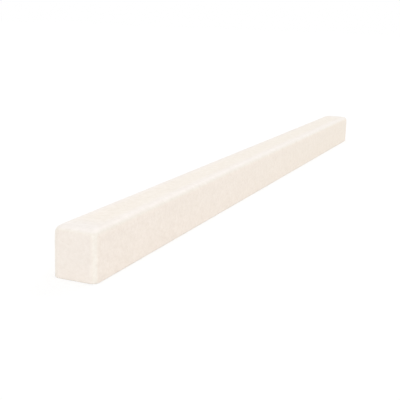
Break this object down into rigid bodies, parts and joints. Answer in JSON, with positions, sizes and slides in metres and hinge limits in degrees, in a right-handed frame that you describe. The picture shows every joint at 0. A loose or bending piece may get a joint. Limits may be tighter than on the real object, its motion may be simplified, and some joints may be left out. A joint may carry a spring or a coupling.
{
  "type": "liner tile",
  "caption": "Long ceramic liner tile, nearly square in section, with eased face edges and corners and a keyed back, set as a narrow border between wall tiles.",
  "frame": {"origin": "middle of the back, on the plane that the tile lies on", "axes": "+X along the tile, +Y across it, +Z from the back out through the face"},
  "size_m": [0.3, 0.014, 0.015],
  "materials": {
    "glazed_ceramic": "matte"
  },
  "bodies": {
    "root": {"liner_tile": "glazed_ceramic"}
  },
  "joints": []
}
